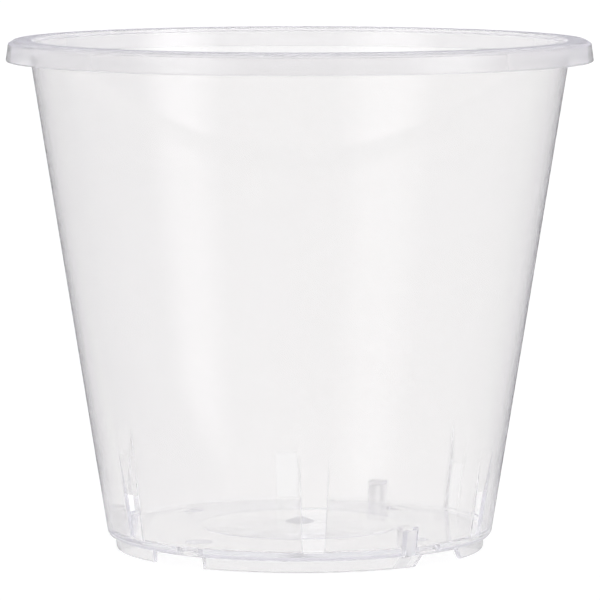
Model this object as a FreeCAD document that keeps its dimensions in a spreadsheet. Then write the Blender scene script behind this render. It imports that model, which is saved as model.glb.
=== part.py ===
import FreeCAD, Part
import math
import os
import Sketcher

# Clear injection-moulded orchid pot: a tapered tub with a hanging rim skirt, six draining slots
# low in its wall, a drained floor on four feet, and three hollow lugs that keep nested pots apart.
# The real pot is one shot of plastic. Each sub-part below is one region of that moulding, and
# neighbours meet face to face. Millimetres, +Z up, origin at the centre of the plane of the feet.
# Azimuths are measured from the front, which is -Y, towards +X.

SIZES = [
    # Tub: the wall's outer face is one cone, named at the feet plane and at the crest.
    ("overall_height", 130.4),
    ("base_radius", 48.8),
    ("mouth_radius", 69.5),
    ("wall_thickness", 1.1),
    # Rim: flat flange, sloped shoulder and a skirt that hangs outside the wall.
    ("rim_overhang", 5.5),
    ("skirt_height", 4.5),
    ("skirt_flare", 0.6),
    ("shoulder_width", 1.55),
    ("shoulder_drop", 0.9),
    ("rim_thickness", 1.1),
    ("mouth_rounding", 0.9),
    # Band: the lower wall, up to the level where the slots' pads start.
    ("band_height", 27.4),
    ("band_step", 0.1),
    ("heel_rounding", 2.0),
    # Slots: a pad thins the wall from inside, then breaks through it at the window's top.
    ("slot_count", 6),
    ("slot_top_width", 6.9),
    ("slot_sill_width", 5.5),
    ("window_top", 17.1),
    # Floor, its holes and the centre disc with the gate mark.
    ("floor_rise", 2.3),
    ("floor_thickness", 1.4),
    ("drain_count", 4),
    ("drain_diameter", 6.8),
    ("drain_inset", 10.5),
    ("disc_inset", 23.3),
    ("disc_step", 0.15),
    ("dome_rise", 0.7),
    ("gate_radius", 3.85),
    ("gate_tip_radius", 0.7),
    ("gate_rise", 1.2),
    # Feet: a ring broken by two straight gaps and two gaps with sloped ends.
    ("foot_height", 3.0),
    ("foot_inset", 1.3),
    ("foot_thickness", 1.7),
    ("foot_draft_width", 0.35),
    ("straight_gap", 16.8),
    ("sloped_gap_top", 13.9),
    ("sloped_gap_bottom", 18.5),
    # Stacking lugs: a round-nosed pocket from outside, and the shell that closes it inside.
    ("pocket_depth", 3.3),
    ("pocket_width", 2.7),
    ("pocket_mouth_width", 3.2),
    ("pocket_top", 9.9),
    ("lug_wall", 0.8),
    ("lug_margin", 0.5),
    # Clearance that cutters run past what they cut.
    ("overrun", 1.0),
]

# Places around the axis, in degrees.
FULL_TURN = 360.0
HALF_TURN = 180.0
QUARTER_TURN = 90.0
FEET = [("foot_front", 0.0), ("foot_right", 90.0), ("foot_back", 180.0), ("foot_left", 270.0)]
STRAIGHT_GAP_ANGLES = [135.0, 315.0]
SLOPED_GAP_ANGLES = [45.0, 225.0]
FIRST_DRAIN_ANGLE = 45.0
LUGS = [("stacking_lug_1", 30.0), ("stacking_lug_2", 150.0), ("stacking_lug_3", 270.0)]

# How near an edge has to lie to its expected place, as a share of the rounding it gets.
EDGE_MATCH_SHARE = 0.01

AXIS_Z = FreeCAD.Vector(0, 0, 1)
STAND_UP = FreeCAD.Rotation(FreeCAD.Vector(1, 0, 0), QUARTER_TURN)

doc = FreeCAD.newDocument("orchid_pot")
sizes = doc.addObject("Spreadsheet::Sheet", "sizes")


def fill_sheet():
    """Writes one row for each driving dimension: its name beside its value."""
    for row, (alias, value) in enumerate(SIZES, start=1):
        sizes.set("A%d" % row, alias)
        sizes.set("B%d" % row, str(value))
        sizes.setAlias("B%d" % row, alias)
    doc.recompute()


def size(name):
    """Gives the expression that reads a driving dimension."""
    return "sizes." + name


def worked_out(expression):
    """Gives the present value of an expression of driving dimensions."""
    return float(sizes.evalExpression(expression))


def wall_outer(level):
    """Gives the radius of the wall's outer face at a level."""
    growth = "(sizes.mouth_radius - sizes.base_radius) / sizes.overall_height"
    return "(sizes.base_radius + %s * (%s))" % (growth, level)


def wall_inner(level):
    """Gives the radius of the wall's inner face at a level above the band."""
    return "(%s - sizes.wall_thickness)" % wall_outer(level)


def band_inner(level):
    """Gives the radius of the band's inner face, which stands a step inside the wall's."""
    return "(%s - sizes.band_step)" % wall_inner(level)


def rim_outer():
    """Gives the radius of the skirt's lower edge, the widest of the pot."""
    return "(sizes.mouth_radius + sizes.rim_overhang)"


def floor_level():
    """Gives the level of the floor's upper face."""
    return "(sizes.foot_height + sizes.floor_rise)"


def floor_edge():
    """Gives the radius where the floor plate meets the band, just inside the lugs' noses."""
    return "(sizes.base_radius - sizes.pocket_depth - sizes.lug_wall - sizes.lug_margin)"


def disc_edge():
    """Gives the radius where the centre disc meets the floor plate."""
    return "(sizes.base_radius - sizes.disc_inset)"


def foot_outer():
    """Gives the radius of the feet's outer face, where they meet the heel."""
    return "(sizes.base_radius - sizes.foot_inset)"


def new_body(label, azimuth=0.0):
    """Makes a body that is turned about the pot's axis to its azimuth."""
    body = doc.addObject("PartDesign::Body", label)
    body.Label = label
    body.Placement = FreeCAD.Placement(FreeCAD.Vector(), FreeCAD.Rotation(AXIS_Z, azimuth))
    return body


def new_sketch(body, name, role):
    """Attaches an empty sketch to one of the body's own origin planes."""
    sketch = body.newObject("Sketcher::SketchObject", name)
    plane = [item for item in body.Origin.OriginFeatures if item.Role == role][0]
    sketch.AttachmentSupport = [(plane, "")]
    sketch.MapMode = "FlatFace"
    return sketch


def bind(sketch, kind, geometry, vertex, expression):
    """Ties one coordinate of a sketch point to an expression of the sheet."""
    value = worked_out(expression)
    index = sketch.addConstraint(Sketcher.Constraint(kind, -1, 1, geometry, vertex, value))
    sketch.setExpression("Constraints[%d]" % index, expression)


def draw_outline(sketch, corners):
    """Draws a closed outline of straight lines through corners given as pairs of expressions."""
    points = [FreeCAD.Vector(worked_out(across), worked_out(up), 0) for across, up in corners]
    for start, end in zip(points, points[1:] + points[:1]):
        sketch.addGeometry(Part.LineSegment(start, end), False)
    for number in range(len(points)):
        following = (number + 1) % len(points)
        sketch.addConstraint(Sketcher.Constraint("Coincident", number, 2, following, 1))
    for number, (across, up) in enumerate(corners):
        bind(sketch, "DistanceX", number, 1, across)
        bind(sketch, "DistanceY", number, 1, up)


def revolve(body, corners, angle=None):
    """Turns an outline in the XZ plane about the pot's axis, all round or by a given angle."""
    sketch = new_sketch(body, body.Name + "_outline", "XZ_Plane")
    draw_outline(sketch, corners)
    turned = body.newObject("PartDesign::Revolution", body.Name + "_turned")
    turned.Profile = sketch
    turned.ReferenceAxis = (sketch, ["V_Axis"])
    turned.Angle = FULL_TURN if angle is None else angle
    turned.Midplane = angle is not None
    sketch.Visibility = False
    doc.recompute()
    return turned


def round_edge(body, name, across, up, radius):
    """Rounds the level circular edge whose own radius and level match the given expressions."""
    base = body.Tip
    found = []
    for number, edge in enumerate(base.Shape.Edges, start=1):
        if not isinstance(edge.Curve, Part.Circle):
            continue
        gap = math.hypot(edge.Curve.Radius - worked_out(across), edge.Curve.Center.z - worked_out(up))
        if gap < worked_out(radius) * EDGE_MATCH_SHARE:
            found.append("Edge%d" % number)
    rounding = body.newObject("PartDesign::Fillet", name)
    rounding.Base = (base, found)
    rounding.Radius = worked_out(radius)
    rounding.setExpression("Radius", radius)
    doc.recompute()
    return rounding


def make_rim_collar():
    """Makes the flat flange, its sloped shoulder and the skirt that hangs from it."""
    body = new_body("rim_collar")
    crest = size("overall_height")
    underside = "(sizes.overall_height - sizes.rim_thickness)"
    corner_radius = "(%s - sizes.skirt_flare)" % rim_outer()
    corner_level = "(sizes.overall_height - sizes.shoulder_drop)"
    crest_radius = "(%s - sizes.shoulder_width)" % corner_radius
    hem_level = "(%s - sizes.skirt_height)" % corner_level
    hem_inner = "(%s - sizes.rim_thickness)" % rim_outer()
    root_radius = "(%s - sizes.rim_thickness)" % corner_radius
    corners = [
        (wall_inner(underside), underside),
        (wall_outer(underside), underside),
        (root_radius, underside),
        (hem_inner, hem_level),
        (rim_outer(), hem_level),
        (corner_radius, corner_level),
        (crest_radius, crest),
        (wall_inner(crest), crest),
    ]
    revolve(body, corners)
    round_edge(body, "mouth_edge", wall_inner(crest), crest, size("mouth_rounding"))
    return body


def make_side_wall():
    """Makes the plain tapered wall between the band and the flange."""
    body = new_body("side_wall")
    low = size("band_height")
    high = "(sizes.overall_height - sizes.rim_thickness)"
    corners = [
        (wall_inner(low), low),
        (wall_outer(low), low),
        (wall_outer(high), high),
        (wall_inner(high), high),
    ]
    revolve(body, corners)
    return body


def make_band_blank():
    """Makes the lower wall with its heel and the outer strip of the floor, before it is cut."""
    body = new_body("band_blank")
    top = size("band_height")
    under = size("foot_height")
    floor = floor_level()
    corners = [
        (floor_edge(), under),
        (wall_outer(under), under),
        (wall_outer(top), top),
        (band_inner(top), top),
        (band_inner(floor), floor),
        (floor_edge(), floor),
    ]
    revolve(body, corners)
    round_edge(body, "heel", wall_outer(under), under, size("heel_rounding"))
    return body


def upright_wedge(name, azimuth, foot, reach, low_width, high_width, height):
    """Makes a wedge that stands on a level and runs out from the axis at an azimuth.

    Its two widths are those at its foot and at its top, and all sizes are expressions.
    """
    wedge = doc.addObject("Part::Wedge", name)
    for side, width in (("min", low_width), ("2min", high_width)):
        wedge.setExpression("X%s" % side, "-(%s) / 2" % width)
    for side, width in (("max", low_width), ("2max", high_width)):
        wedge.setExpression("X%s" % side, "(%s) / 2" % width)
    for low_end in ("Ymin", "Zmin", "Z2min"):
        setattr(wedge, low_end, 0)
    wedge.setExpression("Ymax", height)
    for far_end in ("Zmax", "Z2max"):
        wedge.setExpression(far_end, reach)
    turned = FreeCAD.Rotation(AXIS_Z, azimuth).multiply(STAND_UP)
    wedge.Placement = FreeCAD.Placement(FreeCAD.Vector(0, 0, worked_out(foot)), turned)
    wedge.setExpression("Placement.Base.z", foot)
    return wedge


def fuse(name, shapes):
    """Joins cutters into one."""
    joined = doc.addObject("Part::MultiFuse", name)
    joined.Shapes = shapes
    return joined


def make_slot_cutters():
    """Makes the pads that form the slots.

    The pads' faces lie on one steep cone. It starts at the wall's inner face at the top of the
    band and leaves the wall through its outer face at the window's top, so each slot is a
    thinning web above and an open window below. Each pad narrows towards the sill.
    """
    start = wall_inner(size("band_height"))
    leaving = wall_outer(size("window_top"))
    lean = "(%s - %s) / (sizes.band_height - sizes.window_top)" % (start, leaving)
    rise = "(sizes.band_height - %s)" % floor_level()
    faces = doc.addObject("Part::Cone", "pad_faces")
    faces.setExpression("Radius2", start)
    faces.setExpression("Radius1", "%s - %s * %s" % (start, lean, rise))
    faces.setExpression("Height", rise)
    faces.setExpression("Placement.Base.z", floor_level())
    count = int(worked_out(size("slot_count")))
    sides = []
    for number in range(count):
        azimuth = FULL_TURN * number / count
        sides.append(upright_wedge("pad_sides_%d" % (number + 1), azimuth, floor_level(),
                                   size("mouth_radius"), size("slot_sill_width"),
                                   size("slot_top_width"), rise))
    pads = doc.addObject("Part::Common", "slot_pads")
    pads.Base = faces
    pads.Tool = fuse("pad_sides", sides)
    return pads


def round_nosed_block(name, azimuth, offset, low, high):
    """Makes the plan of a stacking lug, grown by an offset, as a block between two levels.

    Its nose points at the pot's axis, and its sides spread towards the mouth outside the wall.
    """
    body = new_body(name, azimuth)
    nose = "(sizes.pocket_width / 2 + %s)" % offset
    mouth = "(sizes.pocket_mouth_width / 2 + %s)" % offset
    nose_centre = "-(sizes.base_radius - sizes.pocket_depth + sizes.pocket_width / 2)"
    mouth_line = "-(%s + sizes.overrun)" % wall_outer(size("pocket_top"))
    sketch = new_sketch(body, name + "_plan", "XY_Plane")
    across, back, out = worked_out(nose), worked_out(nose_centre), worked_out(mouth_line)
    spread = worked_out(mouth)
    tips = [FreeCAD.Vector(*place, 0) for place in
            ((across, back), (-across, back), (-spread, out), (spread, out))]
    circle = Part.Circle(FreeCAD.Vector(0, back, 0), AXIS_Z, across)
    sketch.addGeometry(Part.ArcOfCircle(circle, 0, math.radians(HALF_TURN)), False)
    for start, end in zip(tips[1:], tips[2:] + tips[:1]):
        sketch.addGeometry(Part.LineSegment(start, end), False)
    for first, end, second, start in ((0, 2, 1, 1), (1, 2, 2, 1), (2, 2, 3, 1), (3, 2, 0, 1)):
        sketch.addConstraint(Sketcher.Constraint("Coincident", first, end, second, start))
    sketch.addConstraint(Sketcher.Constraint("PointOnObject", 0, 3, -2))
    bind(sketch, "DistanceX", 0, 1, nose)
    for vertex in (1, 2, 3):
        bind(sketch, "DistanceY", 0, vertex, nose_centre)
    bind(sketch, "DistanceX", 2, 1, "-" + mouth)
    bind(sketch, "DistanceY", 2, 1, mouth_line)
    bind(sketch, "DistanceX", 3, 1, mouth)
    bind(sketch, "DistanceY", 3, 1, mouth_line)
    seat = FreeCAD.Vector(0, 0, worked_out(low))
    sketch.AttachmentOffset = FreeCAD.Placement(seat, FreeCAD.Rotation())
    sketch.setExpression("AttachmentOffset.Base.z", low)
    block = body.newObject("PartDesign::Pad", name + "_pad")
    block.Profile = sketch
    block.Length = worked_out("%s - %s" % (high, low))
    block.setExpression("Length", "%s - %s" % (high, low))
    sketch.Visibility = False
    doc.recompute()
    return body


def make_pockets():
    """Makes the cutters of the lugs' pockets, open below and through the wall."""
    low = "(sizes.foot_height - sizes.overrun)"
    return [round_nosed_block("pocket_%d" % number, azimuth, "0", low, size("pocket_top"))
            for number, (label, azimuth) in enumerate(LUGS, start=1)]


def make_slotted_band(pads, pockets):
    """Cuts the slots and the lugs' pockets out of the lower wall."""
    band = doc.addObject("Part::Cut", "slotted_band")
    band.Base = make_band_blank()
    band.Tool = fuse("band_cutters", [pads] + pockets)
    return band


def make_stacking_lugs(pockets):
    """Makes the shells that close the pockets inside the pot, seated on the floor and the wall."""
    low = floor_level()
    high = "(sizes.pocket_top + sizes.lug_wall)"
    inside = doc.addObject("Part::Cone", "inside_of_band")
    inside.setExpression("Radius1", band_inner(low))
    inside.setExpression("Radius2", band_inner(high))
    inside.setExpression("Height", "%s - %s" % (high, low))
    inside.setExpression("Placement.Base.z", low)
    lugs = []
    for (label, azimuth), pocket in zip(LUGS, pockets):
        solid = doc.addObject("Part::Common", label + "_solid")
        solid.Base = round_nosed_block(label + "_block", azimuth, size("lug_wall"), low, high)
        solid.Tool = inside
        lug = doc.addObject("Part::Cut", label)
        lug.Base = solid
        lug.Tool = pocket
        lugs.append(lug)
    return lugs


def make_floor_plate():
    """Makes the flat ring of the floor and bores its drain holes."""
    body = new_body("floor_plate")
    top = floor_level()
    under = "(%s - sizes.floor_thickness)" % top
    corners = [
        (disc_edge(), under),
        (floor_edge(), under),
        (floor_edge(), top),
        (disc_edge(), top),
    ]
    revolve(body, corners)
    sketch = new_sketch(body, "drain_circle", "XY_Plane")
    circle_radius = "(sizes.base_radius - sizes.drain_inset)"
    across = "%s * sin(%g deg)" % (circle_radius, FIRST_DRAIN_ANGLE)
    up = "-%s * cos(%g deg)" % (circle_radius, FIRST_DRAIN_ANGLE)
    centre = FreeCAD.Vector(worked_out(across), worked_out(up), 0)
    radius = worked_out("sizes.drain_diameter / 2")
    sketch.addGeometry(Part.Circle(centre, AXIS_Z, radius), False)
    bind(sketch, "DistanceX", 0, 3, across)
    bind(sketch, "DistanceY", 0, 3, up)
    index = sketch.addConstraint(Sketcher.Constraint("Diameter", 0, 2 * radius))
    sketch.setExpression("Constraints[%d]" % index, "sizes.drain_diameter")
    hole = body.newObject("PartDesign::Pocket", "drain_hole")
    hole.Profile = sketch
    hole.Type = "ThroughAll"
    hole.Midplane = True
    doc.recompute()
    holes = body.newObject("PartDesign::PolarPattern", "drain_holes")
    holes.Originals = [hole]
    holes.Axis = (sketch, ["N_Axis"])
    holes.Angle = FULL_TURN
    holes.Occurrences = int(worked_out(size("drain_count")))
    body.Tip = holes
    sketch.Visibility = False
    doc.recompute()
    return body


def make_centre_disc():
    """Makes the centre of the floor, which rises a little to the coned gate mark at its middle."""
    body = new_body("centre_disc")
    rim_top = "(%s + sizes.disc_step)" % floor_level()
    rim_under = "(%s - sizes.floor_thickness)" % floor_level()
    dome_top = "(%s + sizes.dome_rise)" % rim_top
    dome_under = "(%s + sizes.dome_rise)" % rim_under
    corners = [
        (disc_edge(), rim_under),
        (disc_edge(), rim_top),
        (size("gate_radius"), dome_top),
        (size("gate_tip_radius"), "(%s + sizes.gate_rise)" % dome_top),
        ("0", "(%s + sizes.gate_rise)" % dome_top),
        ("0", "(%s + sizes.gate_rise)" % dome_under),
        (size("gate_tip_radius"), "(%s + sizes.gate_rise)" % dome_under),
        (size("gate_radius"), dome_under),
    ]
    revolve(body, corners)
    return body


def make_gap_cutters():
    """Makes the four wedges that break the ring of the feet."""
    low = "-sizes.overrun"
    rise = "(sizes.foot_height + sizes.overrun)"
    spread = "(sizes.sloped_gap_bottom - sizes.sloped_gap_top) / sizes.foot_height"
    low_width = "(sizes.sloped_gap_bottom + %s * sizes.overrun)" % spread
    cutters = []
    for azimuth in STRAIGHT_GAP_ANGLES:
        cutters.append(upright_wedge("straight_gap_%d" % azimuth, azimuth, low, size("mouth_radius"),
                                     size("straight_gap"), size("straight_gap"), rise))
    for azimuth in SLOPED_GAP_ANGLES:
        cutters.append(upright_wedge("sloped_gap_%d" % azimuth, azimuth, low, size("mouth_radius"),
                                     low_width, size("sloped_gap_top"), rise))
    return fuse("foot_gaps", cutters)


def make_feet():
    """Makes the four feet, each a drafted stretch of ring between two gaps."""
    gaps = make_gap_cutters()
    top = size("foot_height")
    inner = "(%s - sizes.foot_thickness)" % foot_outer()
    low_outer = "(%s - sizes.foot_draft_width)" % foot_outer()
    corners = [(inner, "0"), (low_outer, "0"), (foot_outer(), top), (inner, top)]
    feet = []
    for label, azimuth in FEET:
        blank = new_body(label + "_blank", azimuth - QUARTER_TURN)
        revolve(blank, corners, angle=QUARTER_TURN)
        foot = doc.addObject("Part::Cut", label)
        foot.Base = blank
        foot.Tool = gaps
        feet.append(foot)
    return feet


def check_document():
    """Stops if any object failed to compute."""
    for item in doc.Objects:
        if "Invalid" in item.State or "Error" in item.State:
            raise RuntimeError("%s did not compute: %s" % (item.Name, item.State))


def write_parts(nodes):
    """Writes one file for each sub-part, once all of them are sound."""
    for node in nodes:
        if node.Shape.isNull() or not node.Shape.isValid():
            raise RuntimeError("%s has no sound shape" % node.Label)
    os.makedirs("parts", exist_ok=True)
    for node in nodes:
        node.Shape.exportStep("parts/%s.step" % node.Label)
        print("%-16s %2d solid %10.2f mm3" % (node.Label, len(node.Shape.Solids), node.Shape.Volume))


def main():
    """Builds the pot from the rim down and writes its sub-parts."""
    fill_sheet()
    nodes = [make_rim_collar(), make_side_wall()]
    pockets = make_pockets()
    nodes.append(make_slotted_band(make_slot_cutters(), pockets))
    nodes.append(make_floor_plate())
    nodes.append(make_centre_disc())
    nodes += make_stacking_lugs(pockets)
    nodes += make_feet()
    doc.recompute()
    check_document()
    write_parts(nodes)


main()
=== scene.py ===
import math

import bmesh
import bpy
from mathutils import Matrix, Vector


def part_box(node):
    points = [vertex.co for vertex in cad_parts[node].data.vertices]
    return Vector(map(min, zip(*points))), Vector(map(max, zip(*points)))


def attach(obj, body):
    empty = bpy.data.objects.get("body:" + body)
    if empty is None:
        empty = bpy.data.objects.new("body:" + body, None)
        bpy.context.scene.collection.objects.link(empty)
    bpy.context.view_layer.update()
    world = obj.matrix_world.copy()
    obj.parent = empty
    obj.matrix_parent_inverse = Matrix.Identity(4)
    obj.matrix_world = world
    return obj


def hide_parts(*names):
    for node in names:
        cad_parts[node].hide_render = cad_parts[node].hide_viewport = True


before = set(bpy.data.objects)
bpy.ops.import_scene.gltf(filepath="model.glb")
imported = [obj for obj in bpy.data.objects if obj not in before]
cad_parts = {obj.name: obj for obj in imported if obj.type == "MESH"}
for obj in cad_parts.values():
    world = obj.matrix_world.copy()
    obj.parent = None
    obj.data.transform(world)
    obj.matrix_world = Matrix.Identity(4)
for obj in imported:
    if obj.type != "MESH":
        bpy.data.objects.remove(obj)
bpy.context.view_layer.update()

# A clear orchid pot on a pale floor. The real pot is one shot of plastic, so the look is one
# closed skin that stands for all the moulded regions of the model. The pot's sizes and the
# camera's place are in millimetres and are turned into metres where they are used. The floor's
# and the lamps' sizes are in metres. Azimuths are in degrees and run from the front, -Y,
# towards +X.

MM = 0.001

# Overall sizes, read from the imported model.
RIM_LOW, RIM_HIGH = (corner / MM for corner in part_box("rim_collar"))
WALL_LOW, WALL_HIGH = (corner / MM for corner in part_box("side_wall"))
CREST = RIM_HIGH.z
HEM = RIM_LOW.z
RIM_RADIUS = RIM_HIGH.x
FLANGE_UNDERSIDE = WALL_HIGH.z
BAND_TOP = WALL_LOW.z
FLOOR_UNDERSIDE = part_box("floor_plate")[0].z / MM
FLOOR_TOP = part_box("floor_plate")[1].z / MM
FOOT_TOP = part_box("foot_front")[1].z / MM

# The wall: its outer face is one cone, named at the feet plane and at the crest.
BASE_RADIUS = 48.8
MOUTH_RADIUS = 69.5
WALL = 1.1
BAND_STEP = 0.1
STEP_FALL = 1.2

# The rim's section.
RIM_WALL = 1.1
SKIRT_FLARE = 0.6
SHOULDER_WIDTH = 1.55
SHOULDER_DROP = 0.9

# The floor's section.
FLOOR_EDGE = 44.2
DISC_EDGE = 25.5
DISC_STEP = 0.15
DOME_RISE = 0.7
GATE_RADIUS = 3.85
GATE_TIP_RADIUS = 0.7
GATE_RISE = 1.2

# Small roundings that the moulding has at its edges and corners.
HEEL_ROUNDING = 2.0
CORNER_ROUNDING = 0.9
EDGE_ROUNDING = 0.3
FINE_ROUNDING = 0.12

# Slots.
SLOT_COUNT = 6
SLOT_TOP_HALF = 3.45
SLOT_SILL_HALF = 2.75
WINDOW_TOP = 17.1
SLOT_EDGE = 0.22
FLARE_LEAD = 0.1
SILL_LIFT = 0.04

# Drain holes.
DRAIN_COUNT = 4
DRAIN_RADIUS = 3.4
DRAIN_CIRCLE = 38.3
FIRST_DRAIN = 45.0

# Stacking lugs: a shell inside the wall round a pocket that is open outside and below.
LUG_AZIMUTHS = (30.0, 150.0, 270.0)
POCKET_REACH = 45.5
POCKET_HALF = 1.35
POCKET_MOUTH_HALF = 1.6
POCKET_TOP = 9.9
LUG_WALL = 0.8
LUG_ROUNDING = 0.45

# Feet: a ring broken by two straight gaps and two gaps with sloped ends.
FOOT_COUNT = 4
FOOT_RADIUS = 47.5
FOOT_WALL = 1.7
FOOT_DRAFT = 0.35
STRAIGHT_HALF = 8.4
SLOPED_TOP_HALF = 6.95
SLOPED_LOW_HALF = 9.25

# How much each region scatters light instead of passing it straight.
GATE_FROST = 0.5
LUG_FROST = 0.25
HEEL_FROST = 0.1
RIM_FROST = 0.2

# Plain white, the colour of the floor's glow and of the studio.
WHITE = (1, 1, 1, 1)

# The clear plastic. Its faces are a little rough, and frosted ones more. Every wall has the
# plastic's own faint tint, and the first wall that a ray meets also carries painted shade: its
# colour is darker than that of the walls behind it. A ray reflected twice or more ends in a pale
# haze. Each depth is a count of faces passed, or of reflections, plus a half.
PLASTIC_IOR = 1.49
PLASTIC_CLARITY = 0.92
# The first wall's colour is the plastic's faint tint with painted shade on top; the inner walls'
# colour is the tint alone.
FIRST_WALL_TINT_AND_SHADE = (0.941, 0.932, 0.930, 1)
INNER_TINT = (0.998, 0.993, 0.988, 1)
FIRST_WALL_DEPTH = 1.5
POLISH = 0.045
FROST_BLUR = 0.2
HAZE_COLOUR = (0.885, 0.882, 0.91, 1)
LEAST_HAZE = 0.04
LONG_PATH_DEPTH = 1.5
LAMP_TINT = (0.98, 0.98, 0.98, 1)

# The floor. Its glow makes it nearly white. In reflections it glows less, and only near the pot.
FLOOR_HALF = 30.0
FLOOR_COLOUR = (0.17, 0.17, 0.175, 1)
FLOOR_LIFT = 0.88
GLOW_NEAR = 0.06
GLOW_FAR = 0.16
GLOW_REFLECTED = 0.4

# The studio. In reflections its right side and its top are darker. The starts and ends are the
# parts of a ray's direction, to the right and upwards, where the darkening begins and is full.
# Reflections on the pot's outside show all of the studio greyer.
STUDIO_GREY = (0.32, 0.31, 0.41, 1)
RIGHT_START = 0.4
RIGHT_END = 0.95
RIGHT_SHARE = 1.0
TOP_START = 0.3
TOP_END = 0.8
TOP_SHARE = 0.35
OUTSIDE_SHARE = 0.7
OUTSIDE_DEPTH = 0.5

# Softboxes: the widths of each one's lamps as shares of its own, the distance between them and
# the level that they face.
SOFTBOX_SHARES = (1.45, 1.15, 0.85, 0.55)
SOFTBOX_SPACING = 0.004
LAMP_AIM = 0.065

# The camera, fitted to the photograph: its place, how many degrees it looks down, its lens and
# how often a ray may bounce.
CAMERA_AZIMUTH = -4.0
CAMERA_BACK = 1235.2
CAMERA_ACROSS = 0.075
CAMERA_UP = 189.09
CAMERA_TILT = 5.809
SENSOR_WIDTH = 36.0
LENS = 290.163
CLIP_END = 200.0
LIGHT_BOUNCES = 48

# How finely round shapes are divided, and how deep joined pieces reach into each other.
TURN_STEPS = 360
DRAIN_STEPS = 64
FOOT_STEPS = 72
ARC_STEPS = 6
SINK = 0.4
REACH = 3.0

# How close points have to be, in metres, to be one point, and how much an edge turns to be sharp.
SAME_POINT = 1e-7
SAME_CORNER = 2e-6
SHORTEST_EDGE = 1e-6
SHARP_TURN = math.radians(28)


def wall_outer(level):
    """Gives the radius of the wall's outer face at a level."""
    return BASE_RADIUS + (MOUTH_RADIUS - BASE_RADIUS) * level / CREST


def wall_inner(level):
    """Gives the radius of the wall's inner face above the band."""
    return wall_outer(level) - WALL


def band_inner(level):
    """Gives the radius of the band's inner face."""
    return wall_inner(level) - BAND_STEP


def turned(across, out, level, azimuth):
    """Gives the place, in metres, of a point given across and out from the axis at an azimuth."""
    a = math.radians(azimuth)
    x = across * math.cos(a) + out * math.sin(a)
    y = across * math.sin(a) - out * math.cos(a)
    return Vector((x, y, level)) * MM


def rounded(corners):
    """Turns corners (across, up, rounding) of an open outline into points, with arcs at corners."""
    points = []
    last = len(corners) - 1
    for number, (across, up, radius) in enumerate(corners):
        here = Vector((across, up))
        if radius == 0 or number in (0, last):
            points.append(here)
            continue
        before = (Vector(corners[number - 1][:2]) - here).normalized()
        after = (Vector(corners[number + 1][:2]) - here).normalized()
        half = before.angle(after) / 2
        middle = here + (before + after).normalized() * radius / math.sin(half)
        start = here + before * radius / math.tan(half) - middle
        sweep = start.angle_signed(here + after * radius / math.tan(half) - middle)
        for step in range(ARC_STEPS + 1):
            share = step / ARC_STEPS
            arm = start.copy()
            arm.rotate(Matrix.Rotation(-sweep * share, 2))
            points.append(middle + arm)
    return points


def new_piece(name, verts, faces):
    """Makes a mesh object and turns its faces outwards."""
    mesh = bpy.data.meshes.new(name)
    mesh.from_pydata(verts, [], faces)
    shape = bmesh.new()
    shape.from_mesh(mesh)
    bmesh.ops.remove_doubles(shape, verts=shape.verts, dist=SAME_POINT)
    bmesh.ops.recalc_face_normals(shape, faces=shape.faces)
    shape.to_mesh(mesh)
    shape.free()
    piece = bpy.data.objects.new(name, mesh)
    bpy.context.scene.collection.objects.link(piece)
    return piece


def lathe(name, outline, steps=TURN_STEPS, centre=(0.0, 0.0)):
    """Turns an outline that starts and ends on the axis into a closed skin."""
    verts = []
    rings = []
    for radius, level in outline:
        if radius == 0:
            rings.append([len(verts)] * steps)
            verts.append(Vector((centre[0], centre[1], level)) * MM)
            continue
        rings.append([len(verts) + step for step in range(steps)])
        for step in range(steps):
            a = math.tau * step / steps
            x = centre[0] + radius * math.sin(a)
            y = centre[1] - radius * math.cos(a)
            verts.append(Vector((x, y, level)) * MM)
    faces = []
    for low, high in zip(rings, rings[1:]):
        for step in range(steps):
            following = (step + 1) % steps
            corners = (low[step], low[following], high[following], high[step])
            faces.append(tuple(dict.fromkeys(corners)))
    return new_piece(name, verts, faces)


def loft(name, sections):
    """Joins closed sections of equal length, each a list of places, and caps both ends."""
    size = len(sections[0])
    verts = [place for section in sections for place in section]
    faces = [tuple(range(size)), tuple(range(len(verts) - size, len(verts)))]
    for number in range(len(sections) - 1):
        base = number * size
        for corner in range(size):
            following = (corner + 1) % size
            faces.append((base + corner, base + following,
                          base + size + following, base + size + corner))
    return new_piece(name, verts, faces)


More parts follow.
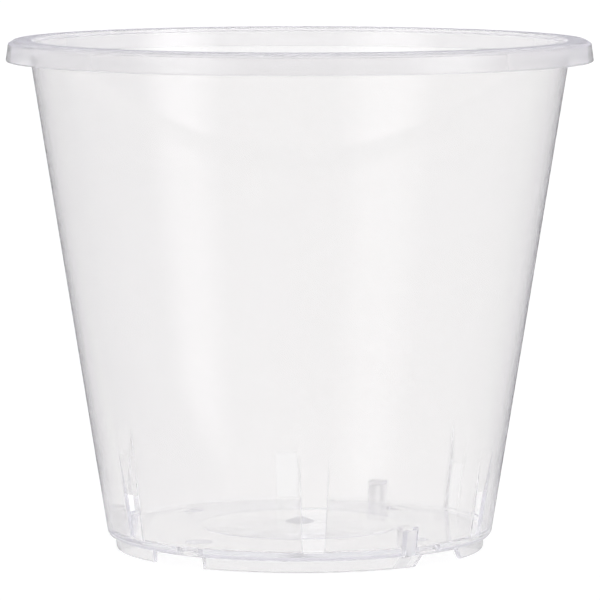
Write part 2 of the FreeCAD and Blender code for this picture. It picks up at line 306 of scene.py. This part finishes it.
def pot_outline():
    """Gives the section of the pot from the middle of its underside round to the floor's middle."""
    corner_radius = RIM_RADIUS - SKIRT_FLARE
    shoulder = CREST - SHOULDER_DROP
    dome_under = FLOOR_UNDERSIDE + DOME_RISE
    dome_top = FLOOR_TOP + DISC_STEP + DOME_RISE
    corners = [
        (0, dome_under + GATE_RISE, 0),
        (GATE_TIP_RADIUS, dome_under + GATE_RISE, 0),
        (GATE_RADIUS, dome_under, 0),
        (DISC_EDGE, FLOOR_UNDERSIDE, 0),
        (FLOOR_EDGE, FLOOR_UNDERSIDE, EDGE_ROUNDING),
        (FLOOR_EDGE, FOOT_TOP, EDGE_ROUNDING),
        (wall_outer(FOOT_TOP), FOOT_TOP, HEEL_ROUNDING),
        (wall_outer(FLANGE_UNDERSIDE), FLANGE_UNDERSIDE, EDGE_ROUNDING),
        (corner_radius - RIM_WALL, FLANGE_UNDERSIDE, EDGE_ROUNDING),
        (RIM_RADIUS - RIM_WALL, HEM, EDGE_ROUNDING),
        (RIM_RADIUS, HEM, EDGE_ROUNDING),
        (corner_radius, shoulder, EDGE_ROUNDING),
        (corner_radius - SHOULDER_WIDTH, CREST, EDGE_ROUNDING),
        (wall_inner(CREST), CREST, EDGE_ROUNDING),
        (wall_inner(BAND_TOP), BAND_TOP, 0),
        (band_inner(BAND_TOP - STEP_FALL), BAND_TOP - STEP_FALL, 0),
        (band_inner(FLOOR_TOP), FLOOR_TOP, CORNER_ROUNDING),
        (DISC_EDGE, FLOOR_TOP, 0),
        (DISC_EDGE - DISC_STEP, FLOOR_TOP + DISC_STEP, 0),
        (GATE_RADIUS, dome_top, 0),
        (GATE_TIP_RADIUS, dome_top + GATE_RISE, 0),
        (0, dome_top + GATE_RISE, 0),
    ]
    return rounded(corners)


def pad_face(level):
    """Gives the radius of the slots' pads, which leave the wall at the window's top."""
    start = wall_inner(BAND_TOP)
    lean = (start - wall_outer(WINDOW_TOP)) / (BAND_TOP - WINDOW_TOP)
    return start - lean * (BAND_TOP - level)


def slot_section(level, azimuth):
    """Gives one level section of a slot's cutter, flared where it meets the wall's inner face."""
    rise = (level - FLOOR_TOP) / (BAND_TOP - FLOOR_TOP)
    half = SLOT_SILL_HALF + (SLOT_TOP_HALF - SLOT_SILL_HALF) * rise
    face = pad_face(level)
    inner = band_inner(level)
    flare = max(0.0, min(SLOT_EDGE, face - inner))
    side = [(half + flare, inner - REACH)]
    for step in range(ARC_STEPS + 1):
        depth = flare * (step / ARC_STEPS - FLARE_LEAD)
        left = flare - depth
        spread = flare - math.sqrt(max(0.0, flare ** 2 - min(left, flare) ** 2))
        side.append((half + spread, inner + depth))
    back = []
    for step in range(ARC_STEPS + 1):
        across = half * (1 - 2 * step / ARC_STEPS)
        back.append((across, math.sqrt(face ** 2 - across ** 2)))
    mirrored = [(-across, out) for across, out in reversed(side)]
    return [turned(across, out, level, azimuth) for across, out in side + back + mirrored]


def make_slot_cutter(number):
    """Makes the cutter of one slot: a thinning web above and an open window below."""
    azimuth = 360.0 * number / SLOT_COUNT
    lean = (pad_face(WINDOW_TOP) - band_inner(WINDOW_TOP)) / (BAND_TOP - WINDOW_TOP)
    edge_level = BAND_TOP - SLOT_EDGE / lean
    levels = [FLOOR_TOP + SILL_LIFT, edge_level, BAND_TOP, BAND_TOP + REACH]
    return loft("slot_cutter_%d" % number, [slot_section(level, azimuth) for level in levels])


def lug_plan(grow, out, azimuth, level):
    """Gives the plan of a lug at a level: a round nose towards the axis and spreading sides."""
    nose = POCKET_HALF + grow
    mouth = POCKET_MOUTH_HALF + grow
    centre = POCKET_REACH + POCKET_HALF
    plan = [(mouth, out)]
    for step in range(2 * ARC_STEPS + 1):
        a = math.pi * step / (2 * ARC_STEPS)
        plan.append((nose * math.cos(a), centre - nose * math.sin(a)))
    plan.append((-mouth, out))
    return [turned(across, place, level, azimuth) for across, place in plan]


def make_lug_block(name, azimuth, grow, low, high, out):
    """Makes a block with a lug's plan and a rounded top. The out end is a rule of the level."""
    sections = [lug_plan(grow, out(low), azimuth, low)]
    for step in range(ARC_STEPS + 1):
        a = math.pi / 2 * step / ARC_STEPS
        level = high - LUG_ROUNDING * (1 - math.sin(a))
        drawn_in = LUG_ROUNDING * (1 - math.cos(a))
        sections.append(lug_plan(grow - drawn_in, out(level), azimuth, level))
    return loft(name, sections)


def make_lugs():
    """Makes the outsides of the lugs' shells, sunk a little into the floor and the wall."""
    low = FLOOR_TOP - SINK
    return [make_lug_block("lug_%d" % azimuth, azimuth, LUG_WALL, low, POCKET_TOP + LUG_WALL,
                           lambda level: wall_outer(level) - WALL + SINK)
            for azimuth in LUG_AZIMUTHS]


def make_pocket_cutters():
    """Makes the cutters of the lugs' pockets, open through the wall and below."""
    low = FOOT_TOP - SINK
    return [make_lug_block("pocket_%d" % azimuth, azimuth, 0.0, low, POCKET_TOP,
                           lambda level: wall_outer(level) + REACH)
            for azimuth in LUG_AZIMUTHS]


def make_drain_cutters():
    """Makes the cutters of the drain holes, flared at both faces of the floor."""
    cutters = []
    for number in range(DRAIN_COUNT):
        a = math.radians(FIRST_DRAIN + 360.0 * number / DRAIN_COUNT)
        centre = (DRAIN_CIRCLE * math.sin(a), -DRAIN_CIRCLE * math.cos(a))
        wide = DRAIN_RADIUS + FINE_ROUNDING
        outline = [
            (0, FLOOR_UNDERSIDE - REACH),
            (wide, FLOOR_UNDERSIDE - REACH),
            (wide + FINE_ROUNDING, FLOOR_UNDERSIDE - FINE_ROUNDING),
            (DRAIN_RADIUS, FLOOR_UNDERSIDE + FINE_ROUNDING),
            (DRAIN_RADIUS, FLOOR_TOP - FINE_ROUNDING),
            (wide + FINE_ROUNDING, FLOOR_TOP + FINE_ROUNDING),
            (wide, FLOOR_TOP + REACH),
            (0, FLOOR_TOP + REACH),
        ]
        cutters.append(lathe("drain_cutter_%d" % number, outline, DRAIN_STEPS, centre))
    return cutters


def foot_outline():
    """Gives the closed section of a foot, sunk into the heel, with rounded lower edges."""
    inner = FOOT_RADIUS - FOOT_WALL
    corners = [
        (inner, FOOT_TOP + SINK, 0),
        (inner, 0, EDGE_ROUNDING),
        (FOOT_RADIUS - FOOT_DRAFT, 0, EDGE_ROUNDING),
        (FOOT_RADIUS, FOOT_TOP + SINK, 0),
    ]
    return rounded(corners)


def sloped_half(level):
    """Gives half the width of a sloped gap at a level."""
    return SLOPED_LOW_HALF + (SLOPED_TOP_HALF - SLOPED_LOW_HALF) * level / FOOT_TOP


def straight_half(level):
    """Gives half the width of a straight gap, the same at each level."""
    return STRAIGHT_HALF


def make_foot(azimuth, half_before, half_after):
    """Makes one foot between the middles of the gaps before and after its azimuth."""
    outline = foot_outline()
    reach = 180.0 / FOOT_COUNT
    sections = []
    for step in range(FOOT_STEPS + 1):
        section = []
        for radius, level in outline:
            start = azimuth - reach + math.degrees(math.asin(half_before(level) / radius))
            end = azimuth + reach - math.degrees(math.asin(half_after(level) / radius))
            section.append(turned(0, radius, level, start + (end - start) * step / FOOT_STEPS))
        sections.append(section)
    return loft("foot_%d" % azimuth, sections)


def make_feet():
    """Makes the four feet. Straight gaps lie at 135 and 315 degrees, sloped at 45 and 225."""
    feet = []
    before, after = straight_half, sloped_half
    for number in range(FOOT_COUNT):
        feet.append(make_foot(360.0 * number / FOOT_COUNT, before, after))
        before, after = after, before
    return feet


def joined(name, parts):
    """Puts the meshes of several pieces into one object and removes the pieces."""
    shape = bmesh.new()
    for part in parts:
        shape.from_mesh(part.data)
        bpy.data.objects.remove(part)
    mesh = bpy.data.meshes.new(name)
    shape.to_mesh(mesh)
    shape.free()
    whole = bpy.data.objects.new(name, mesh)
    bpy.context.scene.collection.objects.link(whole)
    return whole


def combine(piece, tool, operation):
    """Applies one boolean that keeps the skin closed and removes its tool."""
    step = piece.modifiers.new(operation.lower(), "BOOLEAN")
    step.operation = operation
    step.solver = "MANIFOLD"
    step.object = tool
    bpy.context.view_layer.update()
    graph = bpy.context.evaluated_depsgraph_get()
    mesh = bpy.data.meshes.new_from_object(piece.evaluated_get(graph))
    piece.modifiers.clear()
    piece.data = mesh
    bpy.data.objects.remove(tool)


def finish_surface(piece):
    """Merges coincident points and makes the faces smooth between sharp edges."""
    shape = bmesh.new()
    shape.from_mesh(piece.data)
    bmesh.ops.remove_doubles(shape, verts=shape.verts, dist=SAME_CORNER)
    bmesh.ops.dissolve_degenerate(shape, edges=shape.edges, dist=SHORTEST_EDGE)
    loose = [edge for edge in shape.edges if not edge.link_faces]
    bmesh.ops.delete(shape, geom=loose, context="EDGES")
    open_edges = sum(1 for edge in shape.edges if len(edge.link_faces) != 2)
    print("open or crowded edges:", open_edges, "faces:", len(shape.faces))
    for face in shape.faces:
        face.smooth = True
    for edge in shape.edges:
        edge.smooth = len(edge.link_faces) == 2 and edge.calc_face_angle(0) < SHARP_TURN
    shape.to_mesh(piece.data)
    shape.free()
    weighted = piece.modifiers.new("even_normals", "WEIGHTED_NORMAL")
    weighted.keep_sharp = True


def in_pocket(place):
    """Tells whether a place, in millimetres, is on the inside of a lug's shell."""
    radius = place.xy.length
    azimuth = math.atan2(place.x, -place.y)
    margin = LUG_WALL / 3
    for lug in LUG_AZIMUTHS:
        turn = azimuth - math.radians(lug)
        across = radius * math.sin(turn)
        short = max(0.0, POCKET_REACH + POCKET_HALF - radius * math.cos(turn))
        if math.hypot(across, short) < POCKET_MOUTH_HALF + margin:
            return place.z < POCKET_TOP + margin
    return False


def frost_at(place):
    """Gives how much the skin scatters light at a place in millimetres."""
    radius = place.xy.length
    if radius < GATE_RADIUS:
        return GATE_FROST
    if in_pocket(place):
        return LUG_FROST
    if radius > FLOOR_EDGE - EDGE_ROUNDING and place.z < FOOT_TOP + HEEL_ROUNDING:
        return HEEL_FROST
    if radius > wall_outer(place.z) + EDGE_ROUNDING or place.z > CREST - SHOULDER_DROP:
        return RIM_FROST
    return 0.0


def mark_frost(piece):
    """Stores on each face how much it scatters light."""
    shares = [frost_at(face.center / MM) for face in piece.data.polygons]
    frost = piece.data.attributes.new("frost", "FLOAT", "FACE")
    frost.data.foreach_set("value", shares)


def make_pot():
    """Makes the whole pot as one closed skin."""
    pot = lathe("pot", pot_outline())
    combine(pot, joined("feet_and_lugs", make_feet() + make_lugs()), "UNION")
    slots = [make_slot_cutter(number) for number in range(SLOT_COUNT)]
    cutters = slots + make_pocket_cutters() + make_drain_cutters()
    combine(pot, joined("cutters", cutters), "DIFFERENCE")
    finish_surface(pot)
    mark_frost(pot)
    return pot


def feed(tree, socket, source):
    """Links a node's input to an output, or sets it to a fixed value."""
    if isinstance(source, bpy.types.NodeSocket):
        tree.links.new(source, socket)
    else:
        socket.default_value = source


def compute(tree, operation, *sources):
    """Gives the output of a math node that reads outputs or numbers."""
    node = tree.nodes.new("ShaderNodeMath")
    node.operation = operation
    for number, source in enumerate(sources):
        feed(tree, node.inputs[number], source)
    return node.outputs[0]


def rise(tree, source, start, end, top):
    """Gives an output that goes smoothly from 0 to top as its source goes from start to end."""
    node = tree.nodes.new("ShaderNodeMapRange")
    node.interpolation_type = "SMOOTHSTEP"
    feed(tree, node.inputs["Value"], source)
    feed(tree, node.inputs["From Min"], start)
    feed(tree, node.inputs["From Max"], end)
    feed(tree, node.inputs["To Max"], top)
    return node.outputs[0]


def blend_colours(tree, factor, first, second):
    """Gives the first colour where the factor is 0 and the second where it is 1."""
    node = tree.nodes.new("ShaderNodeMix")
    node.data_type = "RGBA"
    feed(tree, node.inputs["Factor"], factor)
    feed(tree, node.inputs["A"], first)
    feed(tree, node.inputs["B"], second)
    return node.outputs["Result"]


def mix_shaders(tree, factor, first, second):
    """Gives the first shader where the factor is 0 and the second where it is 1."""
    node = tree.nodes.new("ShaderNodeMixShader")
    for number, source in enumerate((factor, first, second)):
        feed(tree, node.inputs[number], source)
    return node.outputs[0]


def plain_shader(tree, kind, colour):
    """Gives the output of a shader of one colour."""
    node = tree.nodes.new(kind)
    node.inputs["Color"].default_value = colour
    return node.outputs[0]


def clear_plastic():
    """Makes the hazy clear plastic. Lamps shine through it, dimmed a little."""
    material = bpy.data.materials.new("clear_plastic")
    material.use_nodes = True
    tree = material.node_tree
    path = tree.nodes.new("ShaderNodeLightPath").outputs
    attribute = tree.nodes.new("ShaderNodeAttribute")
    attribute.attribute_name = "frost"
    frost = attribute.outputs["Fac"]

    shader = tree.nodes["Principled BSDF"]
    shader.inputs["IOR"].default_value = PLASTIC_IOR
    shader.inputs["Transmission Weight"].default_value = PLASTIC_CLARITY
    # Painted shade: the first wall that a ray meets is coloured darker than the walls behind it.
    behind = compute(tree, "GREATER_THAN", path["Transmission Depth"], FIRST_WALL_DEPTH)
    tint_and_shade = blend_colours(tree, behind, FIRST_WALL_TINT_AND_SHADE, INNER_TINT)
    feed(tree, shader.inputs["Base Color"], tint_and_shade)
    blur = compute(tree, "MULTIPLY_ADD", frost, FROST_BLUR, POLISH)
    feed(tree, shader.inputs["Roughness"], blur)

    haze = plain_shader(tree, "ShaderNodeBsdfTranslucent", HAZE_COLOUR)
    long_path = compute(tree, "GREATER_THAN", path["Glossy Depth"], LONG_PATH_DEPTH)
    at_least = compute(tree, "MAXIMUM", long_path, LEAST_HAZE)
    hazy_share = compute(tree, "MAXIMUM", at_least, frost)
    hazy = mix_shaders(tree, hazy_share, shader.outputs[0], haze)

    shade = plain_shader(tree, "ShaderNodeBsdfTransparent", LAMP_TINT)
    surface = mix_shaders(tree, path["Is Shadow Ray"], hazy, shade)
    feed(tree, tree.nodes["Material Output"].inputs["Surface"], surface)
    return material


def floor_glow(tree):
    """Gives the floor's glow: full where it is seen directly or through the plastic, else less."""
    path = tree.nodes.new("ShaderNodeLightPath").outputs
    direct = compute(tree, "MAXIMUM", path["Is Camera Ray"], path["Is Transmission Ray"])
    place = tree.nodes.new("ShaderNodeTexCoord")
    distance = tree.nodes.new("ShaderNodeVectorMath")
    distance.operation = "LENGTH"
    feed(tree, distance.inputs[0], place.outputs["Object"])
    near = rise(tree, distance.outputs["Value"], GLOW_FAR, GLOW_NEAR, GLOW_REFLECTED)
    reflected = compute(tree, "MULTIPLY", near, path["Is Glossy Ray"])
    either = compute(tree, "MAXIMUM", direct, reflected)
    return compute(tree, "MULTIPLY", either, FLOOR_LIFT)


def pale_floor():
    """Makes the floor's material, which shows the pot's shadow and is clear from below."""
    material = bpy.data.materials.new("pale_floor")
    material.use_nodes = True
    tree = material.node_tree
    shader = tree.nodes["Principled BSDF"]
    shader.inputs["Base Color"].default_value = FLOOR_COLOUR
    shader.inputs["Roughness"].default_value = 1.0
    shader.inputs["Specular IOR Level"].default_value = 0.0
    shader.inputs["Emission Color"].default_value = WHITE
    feed(tree, shader.inputs["Emission Strength"], floor_glow(tree))
    below = tree.nodes.new("ShaderNodeNewGeometry").outputs["Backfacing"]
    clear = plain_shader(tree, "ShaderNodeBsdfTransparent", WHITE)
    surface = mix_shaders(tree, below, shader.outputs[0], clear)
    feed(tree, tree.nodes["Material Output"].inputs["Surface"], surface)
    return material


def make_floor():
    """Makes the large square floor."""
    half = FLOOR_HALF
    verts = [(-half, -half, 0), (half, -half, 0), (half, half, 0), (-half, half, 0)]
    floor = new_piece("floor", verts, [(0, 1, 2, 3)])
    floor.data.materials.append(pale_floor())


def studio_shade(tree):
    """Gives how grey the studio is: only in reflections, and most at its right and its top."""
    path = tree.nodes.new("ShaderNodeLightPath").outputs
    place = tree.nodes.new("ShaderNodeTexCoord")
    split = tree.nodes.new("ShaderNodeSeparateXYZ")
    feed(tree, split.inputs[0], place.outputs["Generated"])
    right = rise(tree, split.outputs["X"], RIGHT_START, RIGHT_END, RIGHT_SHARE)
    top = rise(tree, split.outputs["Z"], TOP_START, TOP_END, TOP_SHARE)
    sides = compute(tree, "MAXIMUM", right, top)
    mirrored = compute(tree, "MULTIPLY", sides, path["Is Glossy Ray"])
    outside = compute(tree, "LESS_THAN", path["Transmission Depth"], OUTSIDE_DEPTH)
    off_outside = compute(tree, "MULTIPLY", path["Is Glossy Ray"], outside)
    dimmed = compute(tree, "MULTIPLY", off_outside, OUTSIDE_SHARE)
    return compute(tree, "MAXIMUM", mirrored, dimmed)


def make_world():
    """Makes an even white studio that is partly grey in reflections."""
    world = bpy.data.worlds.new("studio")
    bpy.context.scene.world = world
    world.use_nodes = True
    tree = world.node_tree
    colour = blend_colours(tree, studio_shade(tree), WHITE, STUDIO_GREY)
    feed(tree, tree.nodes["Background"].inputs["Color"], colour)


def make_lamp(name, azimuth, distance, level, width, height, radiance):
    """Makes a lamp that faces the pot. The camera doesn't see it directly."""
    data = bpy.data.lights.new(name, "AREA")
    data.shape = "RECTANGLE"
    data.size = width
    data.size_y = height
    data.energy = radiance * math.pi * width * height
    lamp = bpy.data.objects.new(name, data)
    a = math.radians(azimuth)
    place = Vector((distance * math.sin(a), -distance * math.cos(a), level))
    lamp.location = place
    lamp.rotation_euler = (Vector((0, 0, LAMP_AIM)) - place).to_track_quat("-Z", "Y").to_euler()
    lamp.visible_camera = False
    lamp.visible_diffuse = False
    bpy.context.scene.collection.objects.link(lamp)


def make_softbox(name, azimuth, distance, level, width, height, radiance):
    """Makes lamps of one centre that face the pot, so that the light fades at its edges."""
    for number, share in enumerate(SOFTBOX_SHARES):
        make_lamp("%s_%d" % (name, number), azimuth, distance + SOFTBOX_SPACING * number, level,
                  width * share, height, radiance / len(SOFTBOX_SHARES))


def make_camera():
    """Makes the camera that was fitted to the photograph."""
    data = bpy.data.cameras.new("camera")
    data.sensor_fit = "HORIZONTAL"
    data.sensor_width = SENSOR_WIDTH
    data.lens = LENS
    data.clip_end = CLIP_END
    camera = bpy.data.objects.new("camera", data)
    turn = math.radians(CAMERA_AZIMUTH)
    across = Vector((math.cos(turn), math.sin(turn), 0))
    back = Vector((math.sin(turn), -math.cos(turn), 0))
    up = Vector((0, 0, CAMERA_UP))
    camera.location = (back * CAMERA_BACK + across * CAMERA_ACROSS + up) * MM
    camera.rotation_euler = (math.radians(90 - CAMERA_TILT), 0, turn)
    bpy.context.scene.collection.objects.link(camera)
    bpy.context.scene.camera = camera


pot = make_pot()
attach(pot, "root")
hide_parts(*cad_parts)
pot.data.materials.clear()
pot.data.materials.append(clear_plastic())
make_floor()
make_world()
make_softbox("softbox_left", azimuth=CAMERA_AZIMUTH - 43.0, distance=1.0, level=0.42,
             width=0.60, height=0.7, radiance=1.3)
make_softbox("softbox_right", azimuth=CAMERA_AZIMUTH + 60.0, distance=0.7, level=0.335,
             width=0.35, height=0.4, radiance=2.0)
make_camera()
bpy.context.scene.view_settings.view_transform = "Standard"
bpy.context.scene.cycles.max_bounces = LIGHT_BOUNCES
bpy.context.scene.cycles.transmission_bounces = LIGHT_BOUNCES
bpy.context.scene.cycles.glossy_bounces = LIGHT_BOUNCES
